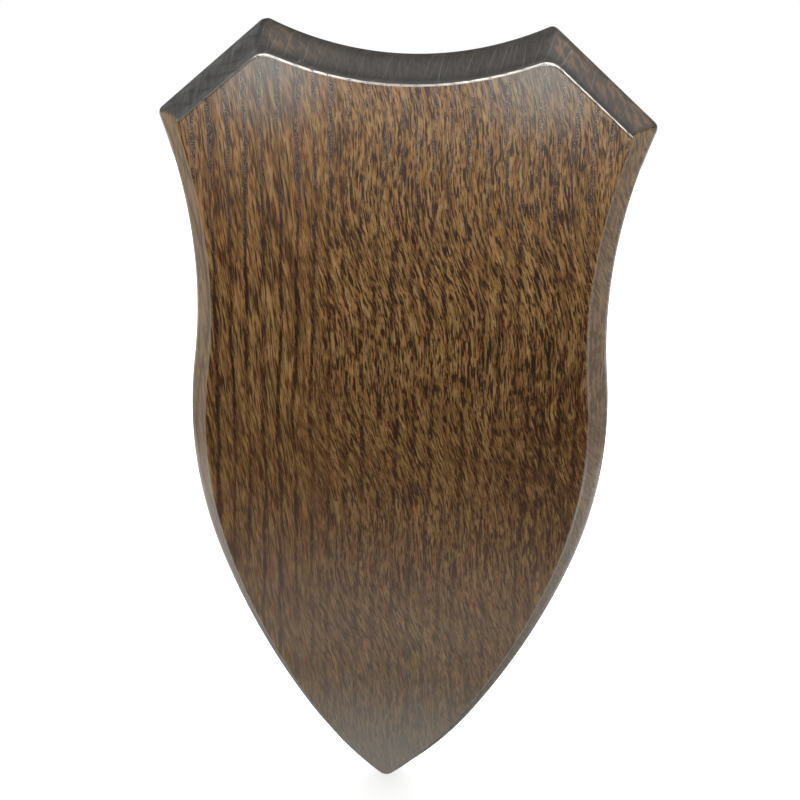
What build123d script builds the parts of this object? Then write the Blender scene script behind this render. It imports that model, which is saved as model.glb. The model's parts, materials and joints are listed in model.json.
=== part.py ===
from build123d import *
import math
import os

# Wall plaque: an oak shield with a routed ogee edge and a blank front, hung by a keyhole plate let
# into its back.
#
# Millimetres, upright as it hangs. +Z is up, +X is the viewer's right and +Y points into the wall,
# so the front faces -Y. The origin is the centre of the keyhole's round entry hole, in the plane of
# the board's back.

# Board
BOARD_THICKNESS = 20.0
BOARD_HEIGHT = 250.0
PEAK_Z = 60.0
PEAK_X = 41.0
TOP_SAG = 9.0
SHOULDER_X = 72.5
SHOULDER_DROP = 26.6
WAIST_X = 64.0
WAIST_DROP = 101.4
WAIST_FLARE = 7.7
HIP_X = 57.1
HIP_DROP = 167.2
TAPER_X = 27.6
TAPER_DROP = 224.3
TIP_OVERRUN = 1.1
OUTER_CORNER_R = 1.5
TIP_CORNER_R = 4.0
BACK_EDGE_CHAMFER = 0.5

# Routed edge, measured from the back and inwards from the outline
WALL_HEIGHT = 4.5
OGEE_TURN = 50.0
OGEE_FOOT_R = 7.0
OGEE_COVE_R = 5.5
OGEE_RAMP = 3.2
ARRIS_R = 0.9
CUTTER_MARGIN = 3.0
CORNER_OVERRUN = 14.0

# Keyhole plate
PLATE_THICKNESS = 2.0
PLATE_WIDTH = 18.0
PLATE_EDGE_R = 0.35
ENTRY_HOLE_R = 4.75
SLOT_WIDTH = 4.8
SLOT_RISE = 9.5
TOP_SCREW_Z = 20.0
BOTTOM_SCREW_Z = -13.0
SCREW_HOLE_R = 1.75
COUNTERSINK_R = 3.35

# Recesses in the back of the board
MORTISE_GAP = 0.15
POCKET_WIDTH = 12.0
POCKET_DEPTH = 8.0
PILOT_R = 1.55
PILOT_DEPTH = 13.0

# Plate screws
SCREW_LENGTH = 12.0
HEAD_R = 3.0
HEAD_SINK = 0.08
HEAD_RIM = 0.2
SHANK_R = 1.45
SHANK_LENGTH = 3.4
CORE_R = 1.0
THREAD_R = 1.5
THREAD_PITCH = 1.2
THREAD_CREST = 0.12
THREAD_TURNS = 5
RECESS_WIDTH = 0.9
RECESS_SPAN = 3.4
RECESS_DEPTH = 1.3

# Rubber wall bumpers
BUMPER_R = 5.0
BUMPER_THICKNESS = 2.0
BUMPER_DRAFT = 12.0
BUMPER_EDGE_R = 0.6
UPPER_BUMPER_X = 48.0
UPPER_BUMPER_Z = 26.0
TIP_BUMPER_Z = -160.0

FRONT = (0, -1, 0)


def point_xz(x, z, y=0.0):
    return Vector(x, y, z)


def bearing(centre, point):
    """Angle of a point about a centre, from +Z towards +X, in degrees."""
    return math.degrees(math.atan2(point[0] - centre[0], point[1] - centre[1]))


class Bend:
    """An arc in the XZ plane that leaves one point in a given direction and ends at another."""

    def __init__(self, start, direction, end):
        size = math.hypot(*direction)
        along = (direction[0] / size, direction[1] / size)
        chord = (end[0] - start[0], end[1] - start[1])
        length = math.hypot(*chord)
        cross = along[0] * chord[1] - along[1] * chord[0]
        half_turn = math.atan2(cross, along[0] * chord[0] + along[1] * chord[1])
        signed_radius = length / (2 * math.sin(half_turn))
        normal = (-along[1], along[0])
        self.start = start
        self.end = end
        self.radius = abs(signed_radius)
        self.centre = (start[0] + signed_radius * normal[0], start[1] + signed_radius * normal[1])
        turn = 2 * half_turn
        self.end_direction = (
            math.cos(turn) * along[0] - math.sin(turn) * along[1],
            math.sin(turn) * along[0] + math.cos(turn) * along[1],
        )
        middle = (start[0] + chord[0] / 2 - self.centre[0], start[1] + chord[1] / 2 - self.centre[1])
        reach = self.radius / math.hypot(*middle)
        self.middle = (self.centre[0] + middle[0] * reach, self.centre[1] + middle[1] * reach)

    def edge(self):
        return ThreePointArc(point_xz(*self.start), point_xz(*self.middle), point_xz(*self.end))


# Corner points of the outline, right-hand side
peak = (PEAK_X, PEAK_Z)
shoulder = (SHOULDER_X, PEAK_Z - SHOULDER_DROP)
waist = (WAIST_X, PEAK_Z - WAIST_DROP)
hip = (HIP_X, PEAK_Z - HIP_DROP)
taper = (TAPER_X, PEAK_Z - TAPER_DROP)
tip = (0.0, PEAK_Z - BOARD_HEIGHT - TIP_OVERRUN)

# The flank hollows above the waist and fills out below it, with one direction through the waist
flare = math.radians(WAIST_FLARE)
upper_flank = Bend(waist, (-math.sin(flare), math.cos(flare)), shoulder)
lower_flank = Bend(waist, (math.sin(flare), -math.cos(flare)), hip)
tapering_flank = Bend(hip, lower_flank.end_direction, taper)
tip_flank = Bend(taper, tapering_flank.end_direction, tip)

top_radius = (PEAK_X**2 + TOP_SAG**2) / (2 * TOP_SAG)
top_centre = (0.0, PEAK_Z - TOP_SAG + top_radius)

# Ogee sizes that follow from the ones above
ogee_turn = math.radians(OGEE_TURN)
foot_inset = OGEE_FOOT_R * (1 - math.cos(ogee_turn))
foot_rise = OGEE_FOOT_R * math.sin(ogee_turn)
ramp_inset = OGEE_RAMP * math.sin(ogee_turn)
ramp_rise = OGEE_RAMP * math.cos(ogee_turn)
cove_inset = OGEE_COVE_R * (1 - math.cos(ogee_turn))
cove_rise = OGEE_COVE_R * math.sin(ogee_turn)
step_inset = foot_inset + ramp_inset + cove_inset
step_height = WALL_HEIGHT + foot_rise + ramp_rise + cove_rise
half_turn = ogee_turn / 2


def cutter_section(place):
    """Face that the router removes. place(inset, height) gives the point in space."""
    foot_end = (foot_inset, WALL_HEIGHT + foot_rise)
    foot_middle = (
        OGEE_FOOT_R * (1 - math.cos(half_turn)),
        WALL_HEIGHT + OGEE_FOOT_R * math.sin(half_turn),
    )
    cove_start = (foot_inset + ramp_inset, WALL_HEIGHT + foot_rise + ramp_rise)
    cove_middle = (
        step_inset - OGEE_COVE_R * (1 - math.cos(half_turn)),
        step_height - OGEE_COVE_R * math.sin(half_turn),
    )
    cove_end = (step_inset, step_height)
    arris_start = (step_inset, BOARD_THICKNESS - ARRIS_R)
    arris_shift = ARRIS_R * math.sqrt(0.5)
    arris_middle = (
        step_inset + ARRIS_R - arris_shift,
        BOARD_THICKNESS - ARRIS_R + arris_shift,
    )
    arris_end = (step_inset + ARRIS_R, BOARD_THICKNESS)
    above = BOARD_THICKNESS + CUTTER_MARGIN
    edges = [
        ThreePointArc(place(0.0, WALL_HEIGHT), place(*foot_middle), place(*foot_end)),
        Line(place(*foot_end), place(*cove_start)),
        ThreePointArc(place(*cove_start), place(*cove_middle), place(*cove_end)),
        Line(place(*cove_end), place(*arris_start)),
        ThreePointArc(place(*arris_start), place(*arris_middle), place(*arris_end)),
        Line(place(*arris_end), place(arris_end[0], above)),
        Line(place(arris_end[0], above), place(-CUTTER_MARGIN, above)),
        Line(place(-CUTTER_MARGIN, above), place(-CUTTER_MARGIN, WALL_HEIGHT)),
        Line(place(-CUTTER_MARGIN, WALL_HEIGHT), place(0.0, WALL_HEIGHT)),
    ]
    return make_face(edges)


def arc_cutter(centre, radius, start, end, hollow, overrun_start=0.0, overrun_end=0.0):
    """Cutter along an arc. hollow is true where the arc's centre lies outside the board."""
    first = bearing(centre, start)
    turn = bearing(centre, end) - first
    turn = (turn + 180.0) % 360.0 - 180.0
    way = math.copysign(1.0, turn)
    first -= way * math.degrees(overrun_start / radius)
    sweep = abs(turn) + math.degrees((overrun_start + overrun_end) / radius)
    if way < 0:
        first -= sweep
    out = (math.sin(math.radians(first)), math.cos(math.radians(first)))
    side = 1.0 if hollow else -1.0

    def place(inset, height):
        reach = radius + side * inset
        return point_xz(centre[0] + out[0] * reach, centre[1] + out[1] * reach, -height)

    axis = Axis(point_xz(*centre), (0, 1, 0))
    return revolve(cutter_section(place), axis, sweep)


def line_cutter(start, end, overrun):
    """Cutter along a straight edge, with the board on its left-hand side going down."""
    length = math.dist(start, end)
    along = ((end[0] - start[0]) / length, (end[1] - start[1]) / length)
    inward = (along[1], -along[0])
    base = (start[0] - along[0] * overrun, start[1] - along[1] * overrun)

    def place(inset, height):
        return point_xz(base[0] + inward[0] * inset, base[1] + inward[1] * inset, -height)

    return extrude(
        cutter_section(place),
        amount=length + 2 * overrun,
        dir=(along[0], 0, along[1]),
    )


def bend_cutter(bend, hollow, overrun_end=0.0):
    return arc_cutter(bend.centre, bend.radius, bend.start, bend.end, hollow, 0.0, overrun_end)


def oblong(low_z, high_z, width, deep_from, deep_to):
    """Upright oblong with round ends, centred on X = 0, between two depths behind the back."""
    half = width / 2
    left_low = point_xz(-half, low_z + half, -deep_from)
    right_low = point_xz(half, low_z + half, -deep_from)
    left_high = point_xz(-half, high_z - half, -deep_from)
    right_high = point_xz(half, high_z - half, -deep_from)
    edges = [
        ThreePointArc(left_low, point_xz(0, low_z, -deep_from), right_low),
        Line(right_low, right_high),
        ThreePointArc(right_high, point_xz(0, high_z, -deep_from), left_high),
        Line(left_high, left_low),
    ]
    return extrude(make_face(edges), amount=deep_to - deep_from, dir=FRONT)


def rod(z, radius, deep_from, deep_to, x=0.0):
    """Round rod along Y between two depths behind the back."""
    plane = Plane(origin=(x, -deep_from, z), x_dir=(1, 0, 0), z_dir=FRONT)
    return extrude(plane * Circle(radius), amount=deep_to - deep_from)


def outline_face():
    right = [Line(point_xz(*peak), point_xz(*shoulder)), upper_flank.edge(), lower_flank.edge()]
    right += [tapering_flank.edge(), tip_flank.edge()]
    left = [edge.mirror(Plane.YZ) for edge in right]
    top_middle = point_xz(0, PEAK_Z - TOP_SAG)
    top = ThreePointArc(point_xz(-PEAK_X, PEAK_Z), top_middle, point_xz(*peak))
    return make_face([top] + right + left)


def build_board():
    board = extrude(outline_face(), amount=BOARD_THICKNESS, dir=FRONT)
    tip_edges = [edge for edge in board.edges().filter_by(Axis.Y) if edge.center().Z < taper[1]]
    board = fillet(tip_edges, TIP_CORNER_R)
    upper_edges = board.edges().filter_by(Axis.Y)
    corner_edges = [edge for edge in upper_edges if edge.center().Z > shoulder[1] - 1.0]
    board = fillet(corner_edges, OUTER_CORNER_R)
    back_edges = board.faces().sort_by(Axis.Y)[-1].edges()
    board = chamfer(back_edges, BACK_EDGE_CHAMFER)

    right_cutters = [
        line_cutter(peak, shoulder, CORNER_OVERRUN),
        bend_cutter(upper_flank, True, CORNER_OVERRUN),
        bend_cutter(lower_flank, False),
        bend_cutter(tapering_flank, False),
        bend_cutter(tip_flank, False, CORNER_OVERRUN),
    ]
    left_peak = (-PEAK_X, PEAK_Z)
    board -= arc_cutter(top_centre, top_radius, left_peak, peak, True, CORNER_OVERRUN, CORNER_OVERRUN)
    for cutter in right_cutters:
        board -= cutter
        board -= cutter.mirror(Plane.YZ)

    plate_low = BOTTOM_SCREW_Z - PLATE_WIDTH / 2
    plate_high = TOP_SCREW_Z + PLATE_WIDTH / 2
    mortise_width = PLATE_WIDTH + 2 * MORTISE_GAP
    board -= oblong(plate_low - MORTISE_GAP, plate_high + MORTISE_GAP, mortise_width, 0, PLATE_THICKNESS)
    pocket_half = POCKET_WIDTH / 2
    board -= oblong(-pocket_half, SLOT_RISE + pocket_half, POCKET_WIDTH, 0, POCKET_DEPTH)
    for screw_z in (TOP_SCREW_Z, BOTTOM_SCREW_Z):
        board -= rod(screw_z, PILOT_R, 0, PILOT_DEPTH)
    return board


def build_plate():
    plate_low = BOTTOM_SCREW_Z - PLATE_WIDTH / 2
    plate_high = TOP_SCREW_Z + PLATE_WIDTH / 2
    plate = oblong(plate_low, plate_high, PLATE_WIDTH, 0, PLATE_THICKNESS)
    plate = fillet(plate.faces().sort_by(Axis.Y)[-1].edges(), PLATE_EDGE_R)
    plate -= rod(0, ENTRY_HOLE_R, 0, PLATE_THICKNESS)
    slot_half = SLOT_WIDTH / 2
    plate -= oblong(-slot_half, SLOT_RISE + slot_half, SLOT_WIDTH, 0, PLATE_THICKNESS)
    for screw_z in (TOP_SCREW_Z, BOTTOM_SCREW_Z):
        plate -= rod(screw_z, SCREW_HOLE_R, 0, PLATE_THICKNESS)
        sink_depth = COUNTERSINK_R - SCREW_HOLE_R
        sink = Cone(COUNTERSINK_R, SCREW_HOLE_R, sink_depth)
        sink_plane = Plane(origin=(0, -sink_depth / 2, screw_z), x_dir=(1, 0, 0), z_dir=FRONT)
        plate -= sink_plane * sink
    return plate


def build_screw(screw_z):
    """Countersunk wood screw, its threads drawn as rings, driven forwards from the back."""
    head_top = HEAD_SINK
    rim_end = head_top + HEAD_RIM
    cone_end = rim_end + HEAD_R - SHANK_R
    shank_end = cone_end + SHANK_LENGTH
    profile = [(0, head_top), (HEAD_R, head_top), (HEAD_R, rim_end), (SHANK_R, cone_end)]
    profile += [(SHANK_R, shank_end), (CORE_R, shank_end + SHANK_R - CORE_R)]
    ring_start = shank_end + SHANK_R - CORE_R
    flank = THREAD_R - CORE_R
    for turn in range(THREAD_TURNS):
        root = ring_start + turn * THREAD_PITCH * 0.9 + 0.1
        profile.append((CORE_R, root))
        profile.append((THREAD_R, root + flank * 0.8))
        profile.append((THREAD_R, root + flank * 0.8 + THREAD_CREST))
        profile.append((CORE_R, root + flank + THREAD_CREST))
    profile.append((0, SCREW_LENGTH))
    points = [Vector(radius, -depth, screw_z) for radius, depth in profile]
    section = make_face(Polyline(*points, close=True))
    screw = revolve(section, Axis((0, 0, screw_z), (0, 1, 0)), 360)
    recess_plane = Plane(origin=(0, -head_top, screw_z), x_dir=(1, 0, 0), z_dir=FRONT)
    for span_x, span_z in ((RECESS_SPAN, RECESS_WIDTH), (RECESS_WIDTH, RECESS_SPAN)):
        recess = extrude(recess_plane * Rectangle(span_x, span_z), amount=RECESS_DEPTH, taper=12)
        screw -= recess
    return screw


def build_bumper(x, z):
    """Round self-adhesive bumper with a drafted side and a rounded rim."""
    plane = Plane(origin=(x, 0, z), x_dir=(1, 0, 0), z_dir=(0, 1, 0))
    bumper = extrude(plane * Circle(BUMPER_R), amount=BUMPER_THICKNESS, taper=BUMPER_DRAFT)
    return fillet(bumper.faces().sort_by(Axis.Y)[-1].edges(), BUMPER_EDGE_R)


os.makedirs("parts", exist_ok=True)
nodes = {
    "shield_board": build_board(),
    "keyhole_hanger_plate": build_plate(),
    "hanger_screw_top": build_screw(TOP_SCREW_Z),
    "hanger_screw_bottom": build_screw(BOTTOM_SCREW_Z),
    "wall_bumper_left": build_bumper(-UPPER_BUMPER_X, UPPER_BUMPER_Z),
    "wall_bumper_right": build_bumper(UPPER_BUMPER_X, UPPER_BUMPER_Z),
    "wall_bumper_tip": build_bumper(0, TIP_BUMPER_Z),
}
for name, solid in nodes.items():
    export_step(solid, f"parts/{name}.step")
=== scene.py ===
import json
import math
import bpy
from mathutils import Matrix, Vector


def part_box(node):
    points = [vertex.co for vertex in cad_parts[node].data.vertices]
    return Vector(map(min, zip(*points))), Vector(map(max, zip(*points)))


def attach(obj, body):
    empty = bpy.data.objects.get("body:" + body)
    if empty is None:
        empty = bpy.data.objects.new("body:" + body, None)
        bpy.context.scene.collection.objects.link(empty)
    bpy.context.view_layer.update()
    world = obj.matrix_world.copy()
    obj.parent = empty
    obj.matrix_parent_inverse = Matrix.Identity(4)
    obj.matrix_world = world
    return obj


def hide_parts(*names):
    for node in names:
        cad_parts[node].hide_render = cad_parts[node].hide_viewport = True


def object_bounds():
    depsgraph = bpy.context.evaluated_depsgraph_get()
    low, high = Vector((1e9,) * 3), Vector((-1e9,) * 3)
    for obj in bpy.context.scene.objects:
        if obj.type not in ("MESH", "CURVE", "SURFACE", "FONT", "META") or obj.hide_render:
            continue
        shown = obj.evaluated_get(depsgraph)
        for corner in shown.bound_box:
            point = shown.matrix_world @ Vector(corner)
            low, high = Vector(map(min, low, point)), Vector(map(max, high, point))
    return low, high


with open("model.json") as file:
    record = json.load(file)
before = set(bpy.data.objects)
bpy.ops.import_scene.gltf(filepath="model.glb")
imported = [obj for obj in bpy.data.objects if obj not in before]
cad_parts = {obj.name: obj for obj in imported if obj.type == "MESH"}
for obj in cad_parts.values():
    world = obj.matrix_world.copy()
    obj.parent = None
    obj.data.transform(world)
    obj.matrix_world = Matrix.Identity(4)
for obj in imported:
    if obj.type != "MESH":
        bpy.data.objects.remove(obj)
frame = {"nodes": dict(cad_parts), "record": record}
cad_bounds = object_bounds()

from types import SimpleNamespace

import bmesh
import bpy
from mathutils import Matrix, Vector

MM = 0.001

# Board outline, right-hand side, in millimetres; second numbers are drops below the peaks
PEAK_X = 41.0
PEAK_Z = 60.0
TOP_SAG = 9.0
SHOULDER = (72.5, 26.6)
WAIST = (64.0, 101.4)
WAIST_FLARE = 7.7
HIP = (57.1, 167.2)
TAPER = (27.6, 224.3)
TIP_Z = -191.1

# Routed edge, in millimetres up from the back and in from the outline
WALL_HEIGHT = 4.5
OGEE_TURN = math.radians(50.0)
OGEE_FOOT_R = 7.0
OGEE_COVE_R = 5.5
OGEE_RAMP = 3.2
ARRIS_R = 0.9
CURVE_STEPS = 8
FACE_RINGS = (0.4, 1.2, 3.0)
BACK_EASE = 0.5
OUTER_CORNER_R = 2.2
FACE_PEAK_R = 6.8
FACE_SHOULDER_R = 2.4
TIP_CORNER_R = 4.0
TIP_FACE_R = 3.0
MIN_CORNER_R = 0.4

# Recesses in the back, in millimetres
MORTISE_GAP = 0.15
POCKET_R = 6.0
POCKET_DEPTH = 8.0
PILOT_R = 1.55
PILOT_DEPTH = 13.0
SLOT_RISE = 9.5

# Camera: where it stands, in degrees and millimetres
CAMERA_ELEVATION = 19.5
CAMERA_AZIMUTH = 3.0
CAMERA_ROLL = 1.58
CAMERA_DISTANCE = 382.0
AIM_RIGHT = 0.25
AIM_ABOVE_MIDDLE = 10.4
LENS_MM = 54.2

board_low, board_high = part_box("shield_board")
plate_low, plate_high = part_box("keyhole_hanger_plate")
back_y = board_high.y / MM
thickness = (board_high.y - board_low.y) / MM


# ---------------------------------------------------------------- outline and its offsets

class Bend:
    """Arc in the XZ plane, in millimetres, that leaves a point in a direction and ends at another."""

    def __init__(self, start, direction, end, hollow):
        along = Vector(direction).normalized()
        chord = Vector(end) - Vector(start)
        cross = along.x * chord.y - along.y * chord.x
        half_turn = math.atan2(cross, along.dot(chord))
        signed = chord.length / (2 * math.sin(half_turn))
        self.centre = Vector(start) + signed * Vector((-along.y, along.x))
        self.radius = abs(signed)
        self.hollow = hollow
        turn = 2 * half_turn
        self.end_direction = (
            math.cos(turn) * along.x - math.sin(turn) * along.y,
            math.sin(turn) * along.x + math.cos(turn) * along.y,
        )
        self.start = Vector(start)
        self.end = Vector(end)

    def reach(self, inset):
        return self.radius + inset if self.hollow else self.radius - inset

    def angle(self, point):
        return math.atan2(point.y - self.centre.y, point.x - self.centre.x)

    def run(self, inset, first, last, count):
        """Points along the arc's offset between two bearings, without the last one."""
        a = self.angle(first)
        turn = (self.angle(last) - a + math.pi) % (2 * math.pi) - math.pi
        r = self.reach(inset)
        return [
            self.centre + r * Vector((math.cos(a + turn * k / count), math.sin(a + turn * k / count)))
            for k in range(count)
        ]


def meeting(bend, inset, point, inward, near):
    """Where a bend's offset crosses the offset of a straight edge, on the side next to near."""
    r = bend.reach(inset)
    gap = (bend.centre - point).dot(inward) - inset
    foot = bend.centre - gap * inward
    along = Vector((-inward.y, inward.x))
    half = math.sqrt(max(r * r - gap * gap, 0.0))
    options = [foot + half * along, foot - half * along]
    return min(options, key=lambda p: (p - near).length)


def turn_about(centre, radius, first, last, count):
    """Points of a corner's fillet between two directions, without the last one."""
    a = math.atan2(first.y, first.x)
    turn = (math.atan2(last.y, last.x) - a + math.pi) % (2 * math.pi) - math.pi
    return [
        centre + radius * Vector((math.cos(a + turn * k / count), math.sin(a + turn * k / count)))
        for k in range(count)
    ]


peak = Vector((PEAK_X, PEAK_Z))
shoulder = Vector((SHOULDER[0], PEAK_Z - SHOULDER[1]))
waist = Vector((WAIST[0], PEAK_Z - WAIST[1]))
hip = Vector((HIP[0], PEAK_Z - HIP[1]))
taper = Vector((TAPER[0], PEAK_Z - TAPER[1]))
tip = Vector((0.0, TIP_Z))
flare = math.radians(WAIST_FLARE)

top_arc = Bend(Vector((0, PEAK_Z - TOP_SAG)), (1, 0), peak, True)
upper_flank = Bend(waist, (-math.sin(flare), math.cos(flare)), shoulder, True)
lower_flank = Bend(waist, (math.sin(flare), -math.cos(flare)), hip, False)
tapering = Bend(hip, lower_flank.end_direction, taper, False)
tip_flank = Bend(taper, tapering.end_direction, tip, False)
slope = (shoulder - peak).normalized()
slope_inward = Vector((slope.y, -slope.x))

# Points given to each stretch of half the outline
COUNTS = {"top": 26, "corner": 9, "slope": 14, "upper": 30, "lower": 24, "taper": 24, "tip": 24}


def half_ring(inset, peak_r, shoulder_r, tip_r):
    """Right half of the outline at an inset, from the middle of the top down to the tip."""
    peak_c = meeting(top_arc, inset + peak_r, peak, slope_inward, peak)
    shoulder_c = meeting(upper_flank, inset + shoulder_r, shoulder, slope_inward, shoulder)
    tip_reach = tip_flank.reach(inset + tip_r)
    tip_c = Vector((0, tip_flank.centre.y - math.sqrt(tip_reach**2 - tip_flank.centre.x**2)))

    out_top = (top_arc.centre - peak_c).normalized()
    out_slope = -slope_inward
    out_upper = (upper_flank.centre - shoulder_c).normalized()
    out_tip = (tip_c - tip_flank.centre).normalized()
    top_mid = Vector((0, PEAK_Z - TOP_SAG - inset))
    slope_start = peak_c + peak_r * out_slope
    slope_end = shoulder_c + shoulder_r * out_slope

    ring = top_arc.run(inset, top_mid, peak_c + peak_r * out_top, COUNTS["top"])
    ring += turn_about(peak_c, peak_r, out_top, out_slope, COUNTS["corner"])
    ring += [slope_start.lerp(slope_end, k / COUNTS["slope"]) for k in range(COUNTS["slope"])]
    ring += turn_about(shoulder_c, shoulder_r, out_slope, out_upper, COUNTS["corner"])
    ring += upper_flank.run(inset, shoulder_c + shoulder_r * out_upper, waist, COUNTS["upper"])
    ring += lower_flank.run(inset, waist, hip, COUNTS["lower"])
    ring += tapering.run(inset, hip, taper, COUNTS["taper"])
    ring += tip_flank.run(inset, taper, tip_c + tip_r * out_tip, COUNTS["tip"])
    ring += turn_about(tip_c, tip_r, out_tip, Vector((0, -1)), COUNTS["corner"])
    ring.append(tip_c + Vector((0, -tip_r)))
    return ring


def full_ring(inset, peak_r, shoulder_r, tip_r):
    right = half_ring(inset, peak_r, shoulder_r, tip_r)
    left = [Vector((-p.x, p.y)) for p in reversed(right[1:-1])]
    return right + left


def edge_profile():
    """Routed edge as (inset, height above the back), from the back's eased edge to the face."""
    points = [(BACK_EASE, 0.0), (BACK_EASE * 0.3, BACK_EASE * 0.3), (0.0, BACK_EASE)]
    points += [(0.0, WALL_HEIGHT * 0.5), (0.0, WALL_HEIGHT)]
    for k in range(1, CURVE_STEPS + 1):
        a = OGEE_TURN * k / CURVE_STEPS
        points.append((OGEE_FOOT_R * (1 - math.cos(a)), WALL_HEIGHT + OGEE_FOOT_R * math.sin(a)))
    inset, height = points[-1]
    inset += OGEE_RAMP * math.sin(OGEE_TURN)
    height += OGEE_RAMP * math.cos(OGEE_TURN)
    points.append((inset, height))
    step_inset = inset + OGEE_COVE_R * (1 - math.cos(OGEE_TURN))
    step_height = height + OGEE_COVE_R * math.sin(OGEE_TURN)
    for k in range(1, CURVE_STEPS + 1):
        a = OGEE_TURN * (1 - k / CURVE_STEPS)
        points.append((step_inset - OGEE_COVE_R * (1 - math.cos(a)), step_height - OGEE_COVE_R * math.sin(a)))
    points.append((step_inset, (step_height + thickness - ARRIS_R) / 2))
    for k in range(CURVE_STEPS + 1):
        a = math.pi / 2 * k / CURVE_STEPS
        points.append((step_inset + ARRIS_R * (1 - math.cos(a)), thickness - ARRIS_R * (1 - math.sin(a))))
    points += [(step_inset + ARRIS_R + d, thickness) for d in FACE_RINGS]
    return points


# ---------------------------------------------------------------- mesh helpers

def add_loop(bm, ring, depth):
    """Closed loop of vertices from (x, z) points, at a depth forward of the back."""
    return [bm.verts.new((p.x * MM, (back_y - depth) * MM, p.y * MM)) for p in ring]


def bridge(bm, first, second):
    count = len(first)
    return [
        bm.faces.new((first[k], first[(k + 1) % count], second[(k + 1) % count], second[k]))
        for k in range(count)
    ]


def fill_between(bm, loops):
    """Flat fill of an outer loop with any inner loops left open."""
    edges = []
    for loop in loops:
        for k, vert in enumerate(loop):
            pair = (vert, loop[(k + 1) % len(loop)])
            edges.append(bm.edges.get(pair) or bm.edges.new(pair))
    bmesh.ops.triangle_fill(bm, use_beauty=True, use_dissolve=False, edges=edges)


def stadium(low_z, high_z, radius, count=20):
    """Upright oblong with round ends, centred on X = 0, as (x, z) points."""
    ring = []
    for centre_z, first in ((high_z - radius, 0.0), (low_z + radius, math.pi)):
        for k in range(count + 1):
            a = first + math.pi * k / count
            ring.append(Vector((radius * math.cos(a), centre_z + radius * math.sin(a))))
    return ring


def circle(z, radius, count=24):
    return [
        Vector((radius * math.cos(2 * math.pi * k / count), z + radius * math.sin(2 * math.pi * k / count)))
        for k in range(count)
    ]


def finish_mesh(bm, name, material, sharp_deg=35.0):
    """Turns a bmesh into an object with outward faces, smooth except across sharp edges."""
    bmesh.ops.recalc_face_normals(bm, faces=bm.faces)
    mesh = bpy.data.meshes.new(name)
    for face in bm.faces:
        face.smooth = True
    for edge in bm.edges:
        if len(edge.link_faces) == 2 and edge.calc_face_angle() > math.radians(sharp_deg):
            edge.smooth = False
    bm.to_mesh(mesh)
    bm.free()
    piece = bpy.data.objects.new(name, mesh)
    bpy.context.collection.objects.link(piece)
    mesh.materials.append(material)
    return piece


# ---------------------------------------------------------------- shader helpers

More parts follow.
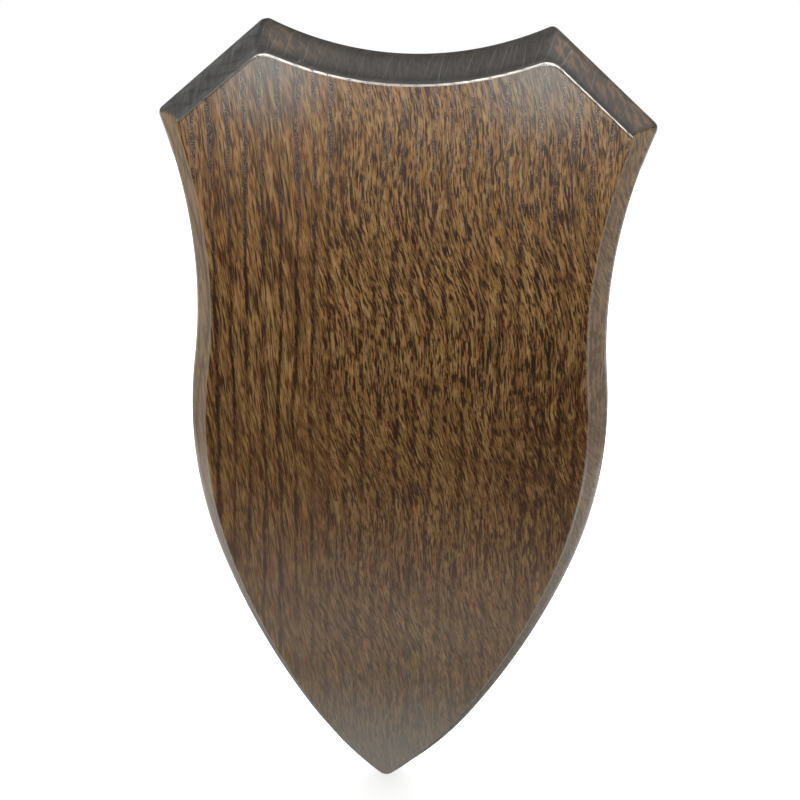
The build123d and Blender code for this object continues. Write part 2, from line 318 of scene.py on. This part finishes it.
class Shader:
    """Small helper that adds nodes to a material and links them."""

    def __init__(self, name):
        self.material = bpy.data.materials.new(name)
        self.material.use_nodes = True
        self.tree = self.material.node_tree
        self.tree.nodes.clear()
        self.out = self.tree.nodes.new("ShaderNodeOutputMaterial")
        self.bsdf = self.tree.nodes.new("ShaderNodeBsdfPrincipled")
        self.tree.links.new(self.bsdf.outputs[0], self.out.inputs["Surface"])

    def put(self, socket, value):
        if isinstance(value, bpy.types.NodeSocket):
            self.tree.links.new(value, socket)
        elif value is not None:
            socket.default_value = value

    def math(self, operation, a, b=None):
        node = self.tree.nodes.new("ShaderNodeMath")
        node.operation = operation
        self.put(node.inputs[0], a)
        self.put(node.inputs[1], b)
        return node.outputs[0]

    def add(self, a, b):
        return self.math("ADD", a, b)

    def sub(self, a, b):
        return self.math("SUBTRACT", a, b)

    def mul(self, a, b):
        return self.math("MULTIPLY", a, b)

    def absolute(self, a):
        return self.math("ABSOLUTE", a)

    def vector(self, x, y, z):
        node = self.tree.nodes.new("ShaderNodeCombineXYZ")
        for k, value in enumerate((x, y, z)):
            self.put(node.inputs[k], value)
        return node.outputs[0]

    def position_mm(self):
        """Object position in millimetres, as three sockets."""
        coord = self.tree.nodes.new("ShaderNodeTexCoord")
        split = self.tree.nodes.new("ShaderNodeSeparateXYZ")
        self.tree.links.new(coord.outputs["Object"], split.inputs[0])
        return [self.mul(split.outputs[k], 1 / MM) for k in range(3)]

    def normal(self):
        """Parts of the surface normal along X, Y and Z."""
        node = self.tree.nodes.new("ShaderNodeNewGeometry")
        split = self.tree.nodes.new("ShaderNodeSeparateXYZ")
        self.tree.links.new(node.outputs["Normal"], split.inputs[0])
        return [split.outputs[k] for k in range(3)]

    def noise(self, vector, scale=1.0, detail=2.0, rough=0.5):
        node = self.tree.nodes.new("ShaderNodeTexNoise")
        self.put(node.inputs["Vector"], vector)
        self.put(node.inputs["Scale"], scale)
        self.put(node.inputs["Detail"], detail)
        self.put(node.inputs["Roughness"], rough)
        return node.outputs["Fac"]

    def noise_at(self, *scaled, detail=2.0, rough=0.5):
        """Noise over three values, each given with its own scale."""
        place = self.vector(*[self.mul(value, scale) for value, scale in scaled])
        return self.noise(place, 1.0, detail, rough)

    def voronoi(self, vector):
        """Distance to the nearest cell's point."""
        node = self.tree.nodes.new("ShaderNodeTexVoronoi")
        self.put(node.inputs["Vector"], vector)
        self.put(node.inputs["Scale"], 1.0)
        return node.outputs["Distance"]

    def remap(self, value, low, high, to_low=0.0, to_high=1.0, smooth=True):
        node = self.tree.nodes.new("ShaderNodeMapRange")
        node.interpolation_type = "SMOOTHSTEP" if smooth else "LINEAR"
        node.clamp = True
        for k, item in enumerate((value, low, high, to_low, to_high)):
            self.put(node.inputs[k], item)
        return node.outputs[0]

    def ramp(self, value, stops):
        node = self.tree.nodes.new("ShaderNodeValToRGB")
        points = node.color_ramp.elements
        while len(points) < len(stops):
            points.new(0.5)
        for point, (place, colour) in zip(points, stops):
            point.position = place
            point.color = (*colour, 1.0)
        self.put(node.inputs[0], value)
        return node.outputs[0]

    def mix(self, factor, a, b, blend="MIX"):
        node = self.tree.nodes.new("ShaderNodeMix")
        node.data_type = "RGBA"
        node.blend_type = blend
        self.put(node.inputs["Factor"], factor)
        for name, value in (("A", a), ("B", b)):
            socket = [s for s in node.inputs if s.name == name and s.type == "RGBA"][0]
            self.put(socket, (*value, 1.0) if isinstance(value, tuple) else value)
        return [s for s in node.outputs if s.type == "RGBA"][0]

    def tint(self, colour, by):
        return self.mix(1.0, colour, by, "MULTIPLY")

    def mix_value(self, factor, a, b):
        return self.add(self.mul(a, self.sub(1.0, factor)), self.mul(b, factor))

    def bump(self, height, distance_mm, strength=1.0, normal=None):
        node = self.tree.nodes.new("ShaderNodeBump")
        self.put(node.inputs["Height"], height)
        self.put(node.inputs["Distance"], distance_mm * MM)
        self.put(node.inputs["Strength"], strength)
        self.put(node.inputs["Normal"], normal)
        return node.outputs[0]

    def principled(self, **inputs):
        for name, value in inputs.items():
            self.put(self.bsdf.inputs[name.replace("_", " ")], value)


# ---------------------------------------------------------------- materials

# Oak's own directions and sizes, in millimetres
RAY_TILT = math.radians(20.0)
RING_WIDTH = 1.7
FLECK_DEPTH = 7.0
LEAN = 0.20
LEAN_SWING = 0.15
LEAN_BAND = 59.0
STRAIGHT_Z = -37.0
APART = 40.0

# Width, length and share of wood covered, for the four sets of dark streaks
WIDE_SHORT = (0.44, 4.2, 0.45)
THIN_SHORT = (0.27, 2.5, 0.43)
WIDE_LONG = (0.46, 8.0, 0.44)
THIN_LONG = (0.27, 4.2, 0.43)

# Heights above the back, toward -Y, where the edge changes: the ogee's two curves and the arris
OUTER_CURVE_Y = (-13.5, -10.5)
INNER_CURVE_Y = (-13.5, -16.0)
ARRIS_Y = (-18.9, -19.4)
# Band of the arris where the highlight is painted
ARRIS_GLINT_Y = (-19.2, -19.4)

# Dark patch near the right edge, and painted grey sheen in round patches below the two peaks
PATCH_CENTRE = (47.0, -62.0)
PATCH_HALF = (19.0, 42.0)
PEAK_SHEEN_CENTRE = (38.0, 50.0)
PEAK_SHEEN_RADIUS = 22.0

# Stain colours by tone, from dark streaks to light strands; the left-slope set holds painted sheen and the
# underside set a painted floor reflection
FRONT_TONES = [
    (0.05, (0.010, 0.003, 0.0004)),
    (0.22, (0.040, 0.014, 0.0022)),
    (0.42, (0.096, 0.045, 0.011)),
    (0.62, (0.160, 0.090, 0.029)),
    (0.85, (0.222, 0.138, 0.050)),
]
SIDE_TONES = [
    (0.10, (0.120, 0.088, 0.058)),
    (0.45, (0.185, 0.132, 0.088)),
    (0.75, (0.235, 0.160, 0.098)),
]
END_TONES = [(0.15, (0.018, 0.016, 0.014)), (0.55, (0.032, 0.028, 0.024))]
# Painted sheen: lighter grey for the left-facing slope
LEFT_SLOPE_SHEEN_TONES = [(0.10, (0.036, 0.037, 0.036)), (0.60, (0.078, 0.080, 0.076))]
# Painted floor reflection: lighter tones for the underside
UNDERSIDE_FLOOR_SHEEN_TONES = [(0.10, (0.062, 0.057, 0.044)), (0.60, (0.128, 0.117, 0.092))]
REDDER = (1.05, 0.88, 0.84)
LOW_SIDE_TINT = (0.62, 0.68, 0.64)
# Painted sheen: lighter, bluer grey for the inner cove
COVE_SHEEN_TINT = (1.75, 1.85, 1.95)
# Painted sheen: grey laid over the face below the two peaks
PAINTED_PEAK_SHEEN = (0.098, 0.098, 0.088)
# Painted reflection: pale grey over the face near the tip
PAINTED_TIP_REFLECTION = (0.20, 0.198, 0.180)
# Painted highlights: pale specks in the pore rows
PAINTED_PORE_GLINTS = (0.42, 0.39, 0.35)
BROWN_END = (0.045, 0.032, 0.022)
BROWN_FLECK = (0.14, 0.080, 0.042)
PALE_RAY = (0.15, 0.14, 0.12)
# Painted highlight: pale colour along the upper arris
PAINTED_ARRIS_GLINT = (0.66, 0.62, 0.55)


def leaning_grain(s, across, z):
    """Distance across the flecks, which lean to the left as they rise, and stand straight in two bands."""
    turn = 2 * math.pi / LEAN_BAND
    swing = s.math("SINE", s.mul(s.sub(z, STRAIGHT_Z), turn))
    lean = s.sub(s.mul(z, LEAN), s.mul(swing, LEAN_SWING / turn))
    return s.add(across, lean)


def streaks(s, w, across, size):
    """Thin pointed dark streaks along the grain."""
    width, length, share = size
    cover = s.noise_at((across, 1 / width), (w.radial, 1 / FLECK_DEPTH), (w.z, 1 / length), detail=1.5)
    return s.remap(cover, share + 0.04, share - 0.05)


def oak_places(s):
    """Positions and directions in the wood that all its layers share."""
    w = SimpleNamespace()
    w.x, w.y, w.z = s.position_mm()
    w.n_x, w.n_y, w.n_z = s.normal()
    w.front = s.remap(w.n_y, -0.5, -0.9)
    slow = s.noise_at((w.x, 0.02), (w.y, 0.02), (w.z, 0.012), detail=1.0)
    drift = s.mul(s.sub(slow, 0.5), 6.0)
    cos_tilt = math.cos(RAY_TILT)
    sin_tilt = math.sin(RAY_TILT)
    w.across = s.add(s.sub(s.mul(w.x, cos_tilt), s.mul(w.y, sin_tilt)), drift)
    w.radial = s.add(s.add(s.mul(w.x, sin_tilt), s.mul(w.y, cos_tilt)), s.mul(drift, 0.3))
    w.left = s.remap(s.add(w.x, s.mul(drift, 4.0)), -12.0, -38.0)
    w.facing = s.absolute(s.sub(s.mul(w.n_x, cos_tilt), s.mul(w.n_y, sin_tilt)))
    w.end = s.remap(s.absolute(w.n_z), 0.22, 0.42)
    w.side = s.mul(s.remap(s.absolute(w.n_x), 0.25, 0.7), s.sub(1.0, w.end))

    ripple = s.sub(s.noise_at((w.x, 0.75), (w.y, 0.5), (w.z, 0.13)), 0.5)
    w.leaning = s.add(leaning_grain(s, w.across, w.z), s.mul(ripple, 1.0))
    w.straighter = s.add(s.add(w.across, s.mul(w.z, 0.12)), s.mul(ripple, 0.8))
    w.strand = s.noise_at((w.leaning, 1.1), (w.radial, 0.15), (w.z, 0.13), rough=0.6)
    return w


def oak_rings(s, w):
    """Growth rings: rows of open pores, dark and beaded, with painted glints in them high on the front."""
    ring_shift = s.noise_at((w.x, 0.05), (w.y, 0.3), (w.z, 0.015))
    ring = s.math("FRACT", s.add(s.mul(w.radial, 1 / RING_WIDTH), s.mul(ring_shift, 1.2)))
    from_row = s.absolute(s.sub(ring, 0.5))
    strong = s.remap(s.noise_at((w.x, 0.16), (w.y, 0.2), (w.z, 0.05)), 0.30, 0.55)
    w.row = s.mul(s.remap(from_row, 0.20, 0.05), strong)
    w.ring_line = s.mul(s.remap(from_row, 0.12, 0.03), s.mul(w.left, strong))
    bead = s.voronoi(s.vector(s.mul(w.leaning, 1.7), s.mul(w.radial, 0.5), s.mul(w.z, 0.58)))
    ragged = s.add(bead, s.mul(s.sub(w.strand, 0.5), 1.2))
    w.pores = s.mul(w.row, s.remap(ragged, 0.60, 0.30))
    w.speck = s.noise_at((w.x, 4.4), (w.y, 1.2), (w.z, 3.4), detail=1.0, rough=0.6)
    # Painted highlights: pale specks in the pore rows, on the upper front only
    upper = s.remap(s.add(w.z, s.mul(s.absolute(w.x), 0.3)), 5.0, 52.0, smooth=False)
    w.dust = s.mul(s.mul(w.row, s.remap(w.speck, 0.56, 0.64)), s.mul(upper, w.front))


def mottled_patch(s, w):
    """Blotches inside the oval patch near the right edge."""
    beside = s.math("POWER", s.mul(s.sub(w.x, PATCH_CENTRE[0]), 1 / PATCH_HALF[0]), 2.0)
    below = s.math("POWER", s.mul(s.sub(w.z, PATCH_CENTRE[1]), 1 / PATCH_HALF[1]), 2.0)
    away = s.math("SQRT", s.add(beside, below))
    mottle = s.noise_at((w.leaning, 0.55), (w.radial, 0.2), (w.z, 0.30))
    return s.mul(s.remap(away, 1.1, 0.5), s.remap(mottle, 0.40, 0.60))


def oak_tone(s, w):
    """Light strands darkened by streaks, rings and pores; 0 is darkest. It is calmer low down."""
    wide = s.mix_value(w.left, streaks(s, w, w.leaning, WIDE_SHORT), streaks(s, w, w.straighter, WIDE_LONG))
    beside = s.add(w.leaning, APART)
    beside_straighter = s.add(w.straighter, APART)
    thin = s.mix_value(w.left, streaks(s, w, beside, THIN_SHORT), streaks(s, w, beside_straighter, THIN_LONG))
    patch = s.noise_at((w.leaning, 0.25), (w.radial, 0.12), (w.z, 0.05), detail=1.0)

    tone = s.add(s.mul(s.sub(w.strand, 0.5), 1.1), s.mul(s.sub(patch, 0.5), 0.3))
    tone = s.add(tone, s.mix_value(w.left, 0.59, 0.56))
    darker = [
        (wide, s.mix_value(w.left, 0.76, 0.62)),
        (thin, 0.56),
        (w.row, 0.25),
        (w.ring_line, 0.45),
        (w.pores, 0.65),
        (mottled_patch(s, w), 0.38),
    ]
    for layer, strength in darker:
        tone = s.mul(tone, s.sub(1.0, s.mul(layer, strength)))
    calm = s.remap(w.z, -30.0, -115.0, 0.0, 0.45, smooth=False)
    return s.mix_value(calm, tone, 0.40)


def front_colour(s, w):
    """Stained face, with painted grey sheen below the peaks, a painted pale reflection near the tip and
    painted glints in the pores high up.
    """
    hue = s.noise_at((w.leaning, 0.8), (w.radial, 0.15), (w.z, 0.11), detail=1.0)
    colour = s.ramp(w.tone, FRONT_TONES)
    colour = s.mix(s.remap(hue, 0.50, 0.70), colour, s.tint(colour, REDDER))
    # Painted sheen: grey round patches on the front below the two peaks
    aside = s.math("POWER", s.sub(s.absolute(w.x), PEAK_SHEEN_CENTRE[0]), 2.0)
    above = s.math("POWER", s.sub(w.z, PEAK_SHEEN_CENTRE[1]), 2.0)
    away = s.math("SQRT", s.add(aside, above))
    bloom_and_painted_sheen = s.remap(away, PEAK_SHEEN_RADIUS, 2.0, 0.0, 0.66, smooth=False)
    colour = s.mix(s.mul(bloom_and_painted_sheen, w.front), colour, PAINTED_PEAK_SHEEN)
    # Painted reflection: pale grey haze on the front near the tip
    low = s.mul(s.remap(w.z, -134, -180), s.mul(w.front, 0.50))
    colour = s.mix(low, colour, PAINTED_TIP_REFLECTION)
    # Painted highlights: pale specks in the pore rows high on the front
    return s.mix(s.mul(w.dust, 0.55), colour, PAINTED_PORE_GLINTS)


def side_colour(s, w):
    """Long grain of the flanks, dimmer toward the tip."""
    colour = s.ramp(w.tone, SIDE_TONES)
    return s.mix(s.remap(w.z, -68.0, -120.0), colour, s.tint(colour, LOW_SIDE_TINT))


def end_colour(s, w):
    """End grain: almost black, with brown flecks outside and pale ray lines; painted sheen makes the inner
    cove greyer and the left slope lighter, and a painted floor reflection lightens the underside.
    """
    colour = s.ramp(w.tone, END_TONES)
    flake = s.remap(w.facing, 0.30, 0.60)
    outer = s.remap(w.y, *OUTER_CURVE_Y)
    slanting = s.add(w.x, s.mul(w.z, 0.45))
    fleck = s.add(s.noise_at((slanting, 0.62), (w.y, 0.30), (w.z, 0.22)), s.mul(s.sub(w.tone, 0.5), 0.15))
    fleck = s.mul(s.mul(flake, outer), s.remap(fleck, 0.47, 0.58))
    brownish = s.mix(s.mul(flake, 0.8), colour, BROWN_END)
    # Painted sheen: the inner cove lighter and bluer
    cove_sheen = s.mix(s.remap(w.y, *INNER_CURVE_Y), colour, s.tint(colour, COVE_SHEEN_TINT))
    colour = s.mix(outer, cove_sheen, brownish)
    colour = s.mix(s.mul(fleck, 0.55), colour, BROWN_FLECK)

    # Rays: thin sheets along the grain that show as pale lines
    ray = s.noise_at((w.across, 0.34), (w.radial, 0.02), (w.z, 0.02), detail=0.5)
    ray_line = s.remap(s.absolute(s.sub(ray, 0.5)), 0.010, 0.0)
    colour = s.mix(s.mul(ray_line, 0.62), colour, PALE_RAY)
    # Painted sheen: left-facing end grain lighter and greyer
    left_slope_sheen = s.remap(w.n_x, -0.30, -0.55, 0.0, 0.85)
    colour = s.mix(left_slope_sheen, colour, s.ramp(w.tone, LEFT_SLOPE_SHEEN_TONES))
    # Painted floor reflection: downward-facing end grain lighter
    return s.mix(s.remap(w.n_z, -0.2, -0.5), colour, s.ramp(w.tone, UNDERSIDE_FLOOR_SHEEN_TONES))


def painted_arris_glint(s, w):
    """Where a pale highlight is painted along the upper arris: strong on upward-facing parts, faint on the
    left slope, weaker near the middle and broken at the pore rows.
    """
    glint = s.mul(s.remap(w.y, *ARRIS_GLINT_Y), s.mul(s.remap(w.n_z, 0.34, 0.55), s.remap(w.n_z, 0.96, 0.84)))
    glint = s.mul(glint, s.remap(w.n_x, -0.40, -0.15, 0.12, 1.0))
    glint = s.mul(glint, s.remap(s.absolute(s.add(w.x, 2.0)), 4.0, 22.0, 0.45, 1.0))
    return s.mul(glint, s.sub(1.0, s.mul(w.row, s.remap(w.speck, 0.54, 0.46))))


def oak_material():
    """Dark-stained open-pored oak, solid in 3-D: rings, pores, flecks and rays run through the board."""
    s = Shader("stained_oak")
    w = oak_places(s)
    oak_rings(s, w)
    w.tone = oak_tone(s, w)
    colour = s.mix(w.side, front_colour(s, w), side_colour(s, w))
    colour = s.mix(w.end, colour, end_colour(s, w))
    # Painted highlight: pale glint along the upper arris
    colour = s.mix(painted_arris_glint(s, w), colour, PAINTED_ARRIS_GLINT)

    groove = s.sub(s.mul(w.tone, 0.5), s.mul(w.pores, 0.9))
    wave = s.noise_at((w.x, 0.06), (w.y, 0.06), (w.z, 0.02), detail=1.0)
    relief = s.bump(groove, 0.03, 0.5, s.bump(wave, 0.3, 0.2))
    rough = s.remap(w.tone, 0.1, 0.6, 0.24, 0.19, smooth=False)
    bare_end = s.mul(w.end, s.sub(1.0, s.remap(w.y, *ARRIS_Y)))
    rough = s.mix_value(bare_end, rough, 0.60)
    s.principled(Base_Color=colour, Roughness=rough, Normal=relief, IOR=1.5)
    return s.material


def metal_material(name, light, dark, rough_low, rough_high, scratch_scale):
    """Worn pressed metal: directional scratches and blotchy tarnish."""
    s = Shader(name)
    x, y, z = s.position_mm()
    lines = s.noise(s.vector(s.mul(x, 9.0), s.mul(y, 9.0), s.mul(z, 0.35)), scratch_scale, 3.0, 0.65)
    cloud = s.noise(s.vector(x, y, z), 0.16, 4.0, 0.6)
    spots = s.noise(s.vector(x, y, z), 1.1, 2.0, 0.7)
    tarnish = s.remap(s.add(s.mul(cloud, 0.75), s.mul(spots, 0.25)), 0.44, 0.66)
    colour = s.mix(tarnish, light, dark)
    colour = s.mix(s.remap(lines, 0.4, 0.75, 0.0, 0.25), colour, dark)
    rough = s.add(s.remap(lines, 0.3, 0.7, rough_low, rough_high, smooth=False), s.mul(tarnish, 0.1))
    relief = s.bump(lines, 0.02, 0.5)
    s.principled(Base_Color=colour, Metallic=1.0, Roughness=rough, Normal=relief)
    return s.material


def rubber_material():
    """Black moulded rubber with a faint bloom and a fine grain."""
    s = Shader("bumper_rubber")
    x, y, z = s.position_mm()
    bloom_and_painted_sheen = s.noise(s.vector(x, y, z), 0.35, 4.0, 0.6)
    grain = s.noise(s.vector(x, y, z), 6.0, 2.0, 0.5)
    colour = s.ramp(bloom_and_painted_sheen, [(0.35, (0.012, 0.012, 0.013)), (0.7, (0.04, 0.039, 0.037))])
    rough = s.remap(bloom_and_painted_sheen, 0.35, 0.7, 0.45, 0.68, smooth=False)
    s.principled(Base_Color=colour, Roughness=rough, Normal=s.bump(grain, 0.03, 0.4), IOR=1.52)
    return s.material


def floor_material():
    """Pale matt floor that glows a little, so that it stays pale near the object."""
    s = Shader("studio_floor")
    x, y, z = s.position_mm()
    mottle = s.noise(s.vector(x, y, z), 0.01, 3.0, 0.5)
    colour = s.mix(mottle, (0.80, 0.80, 0.795), (0.84, 0.84, 0.835))
    s.principled(Base_Color=colour, Roughness=0.9)
    s.principled(Emission_Color=WHITE, Emission_Strength=FLOOR_GLOW)
    return s.material


# ---------------------------------------------------------------- the board

def corner_radii(inset, height, face_inset):
    """Peak, shoulder and tip radii at one ring of the edge."""
    if height <= BACK_EASE:
        corner_r = max(OUTER_CORNER_R - inset, MIN_CORNER_R)
        return corner_r, corner_r, max(TIP_CORNER_R - inset, MIN_CORNER_R)
    share = min(inset / face_inset, 1.0)
    return (
        OUTER_CORNER_R + (FACE_PEAK_R - OUTER_CORNER_R) * share,
        OUTER_CORNER_R + (FACE_SHOULDER_R - OUTER_CORNER_R) * share,
        TIP_CORNER_R + (TIP_FACE_R - TIP_CORNER_R) * share,
    )


def add_edge(bm):
    """Routed edge and face; returns the open loop round the back."""
    profile = edge_profile()
    face_inset = profile[-1 - len(FACE_RINGS)][0]
    loops = []
    for inset, height in profile:
        ring = full_ring(inset, *corner_radii(inset, height, face_inset))
        loops.append(add_loop(bm, ring, height))
    for first, second in zip(loops, loops[1:]):
        bridge(bm, first, second)
    bm.faces.new(loops[-1])
    return loops[0]


def add_blind_hole(bm, ring, mouth_depth, end_depth):
    """Hole with a flat end; returns the loop round its mouth."""
    mouth = add_loop(bm, ring, mouth_depth)
    end = add_loop(bm, ring, end_depth)
    bridge(bm, mouth, end)
    bm.faces.new(end)
    return mouth


def build_board(material):
    """Shield with its routed edge, rounded corners and the recesses in its back."""
    bm = bmesh.new()
    back = add_edge(bm)
    mortise_low = plate_low.z / MM - MORTISE_GAP
    mortise_high = plate_high.z / MM + MORTISE_GAP
    mortise_r = (plate_high.x - plate_low.x) / 2 / MM + MORTISE_GAP
    mortise_depth = (plate_high.y - plate_low.y) / MM
    mortise = stadium(mortise_low, mortise_high, mortise_r)
    mouth = add_loop(bm, mortise, 0.0)
    shelf = add_loop(bm, mortise, mortise_depth)
    fill_between(bm, [back, mouth])
    bridge(bm, mouth, shelf)

    pocket = stadium(-POCKET_R, SLOT_RISE + POCKET_R, POCKET_R)
    holes = [shelf, add_blind_hole(bm, pocket, mortise_depth, POCKET_DEPTH)]
    for screw in ("hanger_screw_top", "hanger_screw_bottom"):
        low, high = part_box(screw)
        pilot = circle((low.z + high.z) / 2 / MM, PILOT_R)
        holes.append(add_blind_hole(bm, pilot, mortise_depth, PILOT_DEPTH))
    fill_between(bm, holes)
    return finish_mesh(bm, "oak_shield", material)


# ---------------------------------------------------------------- stage, lights and camera

WHITE = (1.0, 1.0, 1.0, 1.0)
COOL = (0.90, 1.0, 0.97)
WORLD_STRENGTH = 0.06
FLOOR_GLOW = 0.64
FLOOR_RADIUS = 1.5
FLOOR_SPOKES = 96
FLOOR_RINGS = (0.1, 0.3, 0.6, 1.0)

# Cards, in metres: how far above the floor they lie, how wide they are and where they stand
CARD_LIFT = 0.003
FLOOR_CARD_WIDTH = 0.6
LOW_CARD_SIZE = (0.38, 0.12)
LOW_CARD_Y = -2.0
LOW_CARD_Z = -0.06


def build_floor():
    """Round pale floor under the object."""
    bm = bmesh.new()
    centre = (cad_bounds[0] + cad_bounds[1]) / 2
    low = cad_bounds[0].z
    rings = []
    for share in FLOOR_RINGS:
        radius = FLOOR_RADIUS * share
        bearings = [2 * math.pi * k / FLOOR_SPOKES for k in range(FLOOR_SPOKES)]
        rings.append([
            bm.verts.new((centre.x + radius * math.cos(a), centre.y + radius * math.sin(a), low))
            for a in bearings
        ])
    bm.faces.new(rings[0])
    for first, second in zip(rings, rings[1:]):
        bridge(bm, first, second)
    floor = finish_mesh(bm, "studio_floor", floor_material())
    floor.visible_glossy = False


def area_light(name, place, aim, width, height, radiance, colour=(1.0, 1.0, 1.0)):
    """Soft rectangular light that the camera doesn't see, in metres; radiance 1 looks white."""
    data = bpy.data.lights.new(name, "AREA")
    data.shape = "RECTANGLE"
    data.size = width
    data.size_y = height
    data.energy = radiance * math.pi * width * height
    data.color = colour
    light = bpy.data.objects.new(name, data)
    light.location = place
    light.rotation_mode = "QUATERNION"
    light.rotation_quaternion = (Vector(aim) - Vector(place)).to_track_quat("-Z", "Y")
    light.visible_camera = False
    bpy.context.collection.objects.link(light)
    return light


def build_camera():
    """Camera that looks down at the board from in front, a little to its right."""
    elevation = math.radians(CAMERA_ELEVATION)
    azimuth = math.radians(CAMERA_AZIMUTH)
    roll = math.radians(CAMERA_ROLL)
    middle = (board_low + board_high) / 2
    aim = Vector((middle.x + AIM_RIGHT * MM, board_high.y, middle.z + AIM_ABOVE_MIDDLE * MM))
    back = Vector((
        math.sin(azimuth) * math.cos(elevation),
        -math.cos(azimuth) * math.cos(elevation),
        math.sin(elevation),
    ))
    level_right = back.cross(Vector((0, 0, 1))).normalized() * -1
    level_up = back.cross(level_right)
    right = math.cos(roll) * level_right + math.sin(roll) * level_up
    up = math.cos(roll) * level_up - math.sin(roll) * level_right
    data = bpy.data.cameras.new("camera")
    data.lens = LENS_MM
    data.sensor_width = 36.0
    camera = bpy.data.objects.new("camera", data)
    place = aim + back * CAMERA_DISTANCE * MM
    camera.matrix_world = Matrix((
        (right.x, up.x, back.x, place.x),
        (right.y, up.y, back.y, place.y),
        (right.z, up.z, back.z, place.z),
        (0, 0, 0, 1),
    ))
    bpy.context.collection.objects.link(camera)
    bpy.context.scene.camera = camera


def show_white_to_camera(world):
    """The camera sees a white studio round the floor, and the object is lit by a dim one."""
    tree = world.node_tree
    path = tree.nodes.new("ShaderNodeLightPath")
    white = tree.nodes.new("ShaderNodeBackground")
    either = tree.nodes.new("ShaderNodeMixShader")
    out = tree.nodes["World Output"]
    tree.links.new(path.outputs["Is Camera Ray"], either.inputs[0])
    tree.links.new(tree.nodes["Background"].outputs[0], either.inputs[1])
    tree.links.new(white.outputs[0], either.inputs[2])
    tree.links.new(either.outputs[0], out.inputs["Surface"])
    white.inputs[0].default_value = WHITE


def build_world():
    world = bpy.data.worlds.new("studio")
    bpy.context.scene.world = world
    world.use_nodes = True
    background = world.node_tree.nodes["Background"]
    background.inputs[0].default_value = WHITE
    background.inputs[1].default_value = WORLD_STRENGTH
    show_white_to_camera(world)


def floor_card(name, y, depth, radiance, colour=(1.0, 1.0, 1.0), lift=CARD_LIFT):
    """Card that lies on the floor and faces up."""
    place = (0, y, cad_bounds[0].z + lift)
    return area_light(name, place, (0, y, 1), FLOOR_CARD_WIDTH, depth, radiance, colour)


def low_card(name, x, radiance):
    """Card that stands far in front, low down, and faces the board."""
    return area_light(name, (x, LOW_CARD_Y, LOW_CARD_Z), (0, 0, 0), *LOW_CARD_SIZE, radiance)


def build_lights():
    """Soft light from above and in front, and cards that only show as sheen on the varnish."""
    soft = [
        area_light("overhead", (0, 1.5, 0.8), (0, 1.5, 0), 4.2, 2.9, 2.5),
        area_light("fill", (-0.5, -1.5, 0.3), (0, 0, 0), 1.6, 0.8, 3.25),
    ]
    for light in soft:
        light.visible_glossy = False
    near = area_light("near_light", (0, -0.34, 0.22), (0, 0, 0.22), 0.22, 0.10, 12.6)
    near.data.spread = math.radians(95)
    cards = [
        floor_card("floor_under", 0.10, 0.2, 1.0, lift=0.002),
        floor_card("floor_strip_a", -0.06, 0.08, 0.9, COOL),
        floor_card("floor_strip_b", -0.12, 0.04, 1.4, COOL),
        floor_card("floor_strip_c", -0.165, 0.05, 1.0),
        floor_card("floor_strip_d", -0.22, 0.06, 0.3),
        low_card("low_left", -0.45, 10.0),
        low_card("low_centre", -0.1, 4.0),
        low_card("low_right", 0.25, 11.0),
        area_light("back_card", (0, 1.6, -0.35), (0, 0, -0.05), 5.0, 0.8, 0.8),
        area_light("edge_bar", (0.6, -0.4, 1.0), (0, 0, 0), 2.0, 0.25, 9.0),
    ]
    for card in cards:
        card.visible_diffuse = False


build_camera()
oak = oak_material()
board = build_board(oak)
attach(board, "root")
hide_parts("shield_board")

brass = metal_material("brass_plate", (0.80, 0.60, 0.28), (0.50, 0.34, 0.15), 0.26, 0.42, 1.0)
plated = metal_material("plated_screw", (0.78, 0.61, 0.31), (0.40, 0.28, 0.14), 0.22, 0.38, 1.6)
rubber = rubber_material()
finishes = {"brass_plate": brass, "plated_screw": plated, "bumper_rubber": rubber}
for subpart in frame["record"]["subparts"]:
    if subpart["material_slot"] in finishes:
        node = frame["nodes"][subpart["node"]]
        node.data.materials.clear()
        node.data.materials.append(finishes[subpart["material_slot"]])

build_floor()
build_world()
build_lights()
bpy.context.scene.view_settings.view_transform = "Standard"
